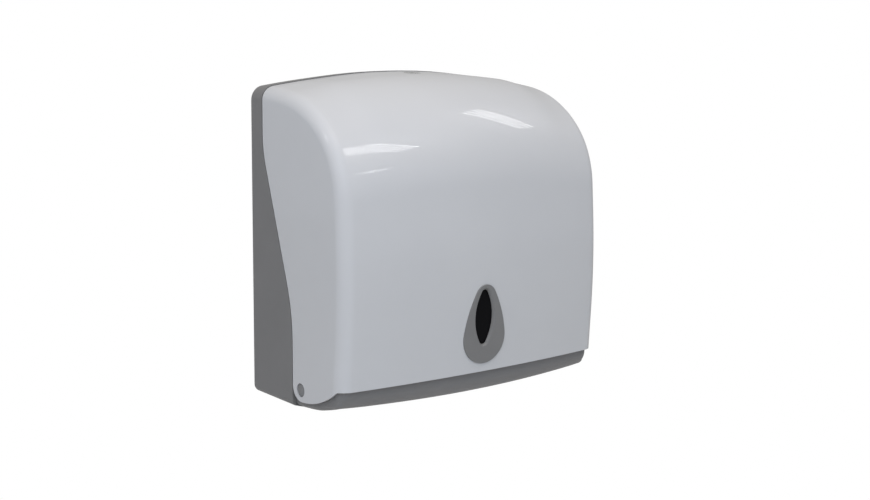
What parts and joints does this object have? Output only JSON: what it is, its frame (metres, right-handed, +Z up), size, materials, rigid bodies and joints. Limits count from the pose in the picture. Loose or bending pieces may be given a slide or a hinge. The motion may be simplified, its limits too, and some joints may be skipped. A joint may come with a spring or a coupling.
{
  "type": "paper towel dispenser",
  "caption": "Wall-mounted folded paper towel dispenser: a back housing with a drop-front cover on two hinge pins, a teardrop window, a cam lock in the roof and a towel outlet in the floor.",
  "frame": {"origin": "on the wall plane, at the centre of the four wall-screw slots", "axes": "+Y into the wall, so the front faces -Y; +Z up; +X to the right as seen from the front"},
  "size_m": [0.2706, 0.1361, 0.2658],
  "materials": {
    "housing_plastic": "satin, mid grey moulding",
    "cover_plastic": "semi-gloss light silver grey",
    "bezel_plastic": "satin, mid grey moulding",
    "smoked_pane": "dark smoked clear plastic",
    "pin_plastic": "satin",
    "lock_metal": "bright plated zinc",
    "zinc_steel": "zinc plated"
  },
  "bodies": {
    "housing": {"back_housing": "housing_plastic", "outlet_frame": "housing_plastic", "towel_adapter_left": "housing_plastic", "towel_adapter_right": "housing_plastic", "strike_plate": "zinc_steel", "strike_screws": "zinc_steel", "hinge_pin_left": "pin_plastic", "hinge_pin_right": "pin_plastic", "hinge_washer_left": "pin_plastic", "hinge_washer_right": "pin_plastic", "pin_clip_left": "zinc_steel", "pin_clip_right": "zinc_steel"},
    "cover": {"front_cover": "cover_plastic", "window_bezel": "bezel_plastic", "window_pane": "smoked_pane", "bezel_clips": "zinc_steel", "lock_body": "lock_metal", "lock_washer": "zinc_steel", "lock_nut": "zinc_steel"},
    "lock": {"lock_plug": "lock_metal", "lock_cam": "zinc_steel", "cam_washer": "zinc_steel", "cam_screw": "zinc_steel"}
  },
  "joints": [
    {"name": "cover_hinge", "type": "hinge", "parent": "housing", "child": "cover", "pos_m": [0, -0.0687, -0.1207], "axis": [1, 0, 0], "range_deg": [0, 95]},
    {"name": "lock_turn", "type": "hinge", "parent": "cover", "child": "lock", "pos_m": [0, -0.038, 0.12667], "axis": [0, 0.0821, -0.9966], "range_deg": [0, 90]}
  ]
}
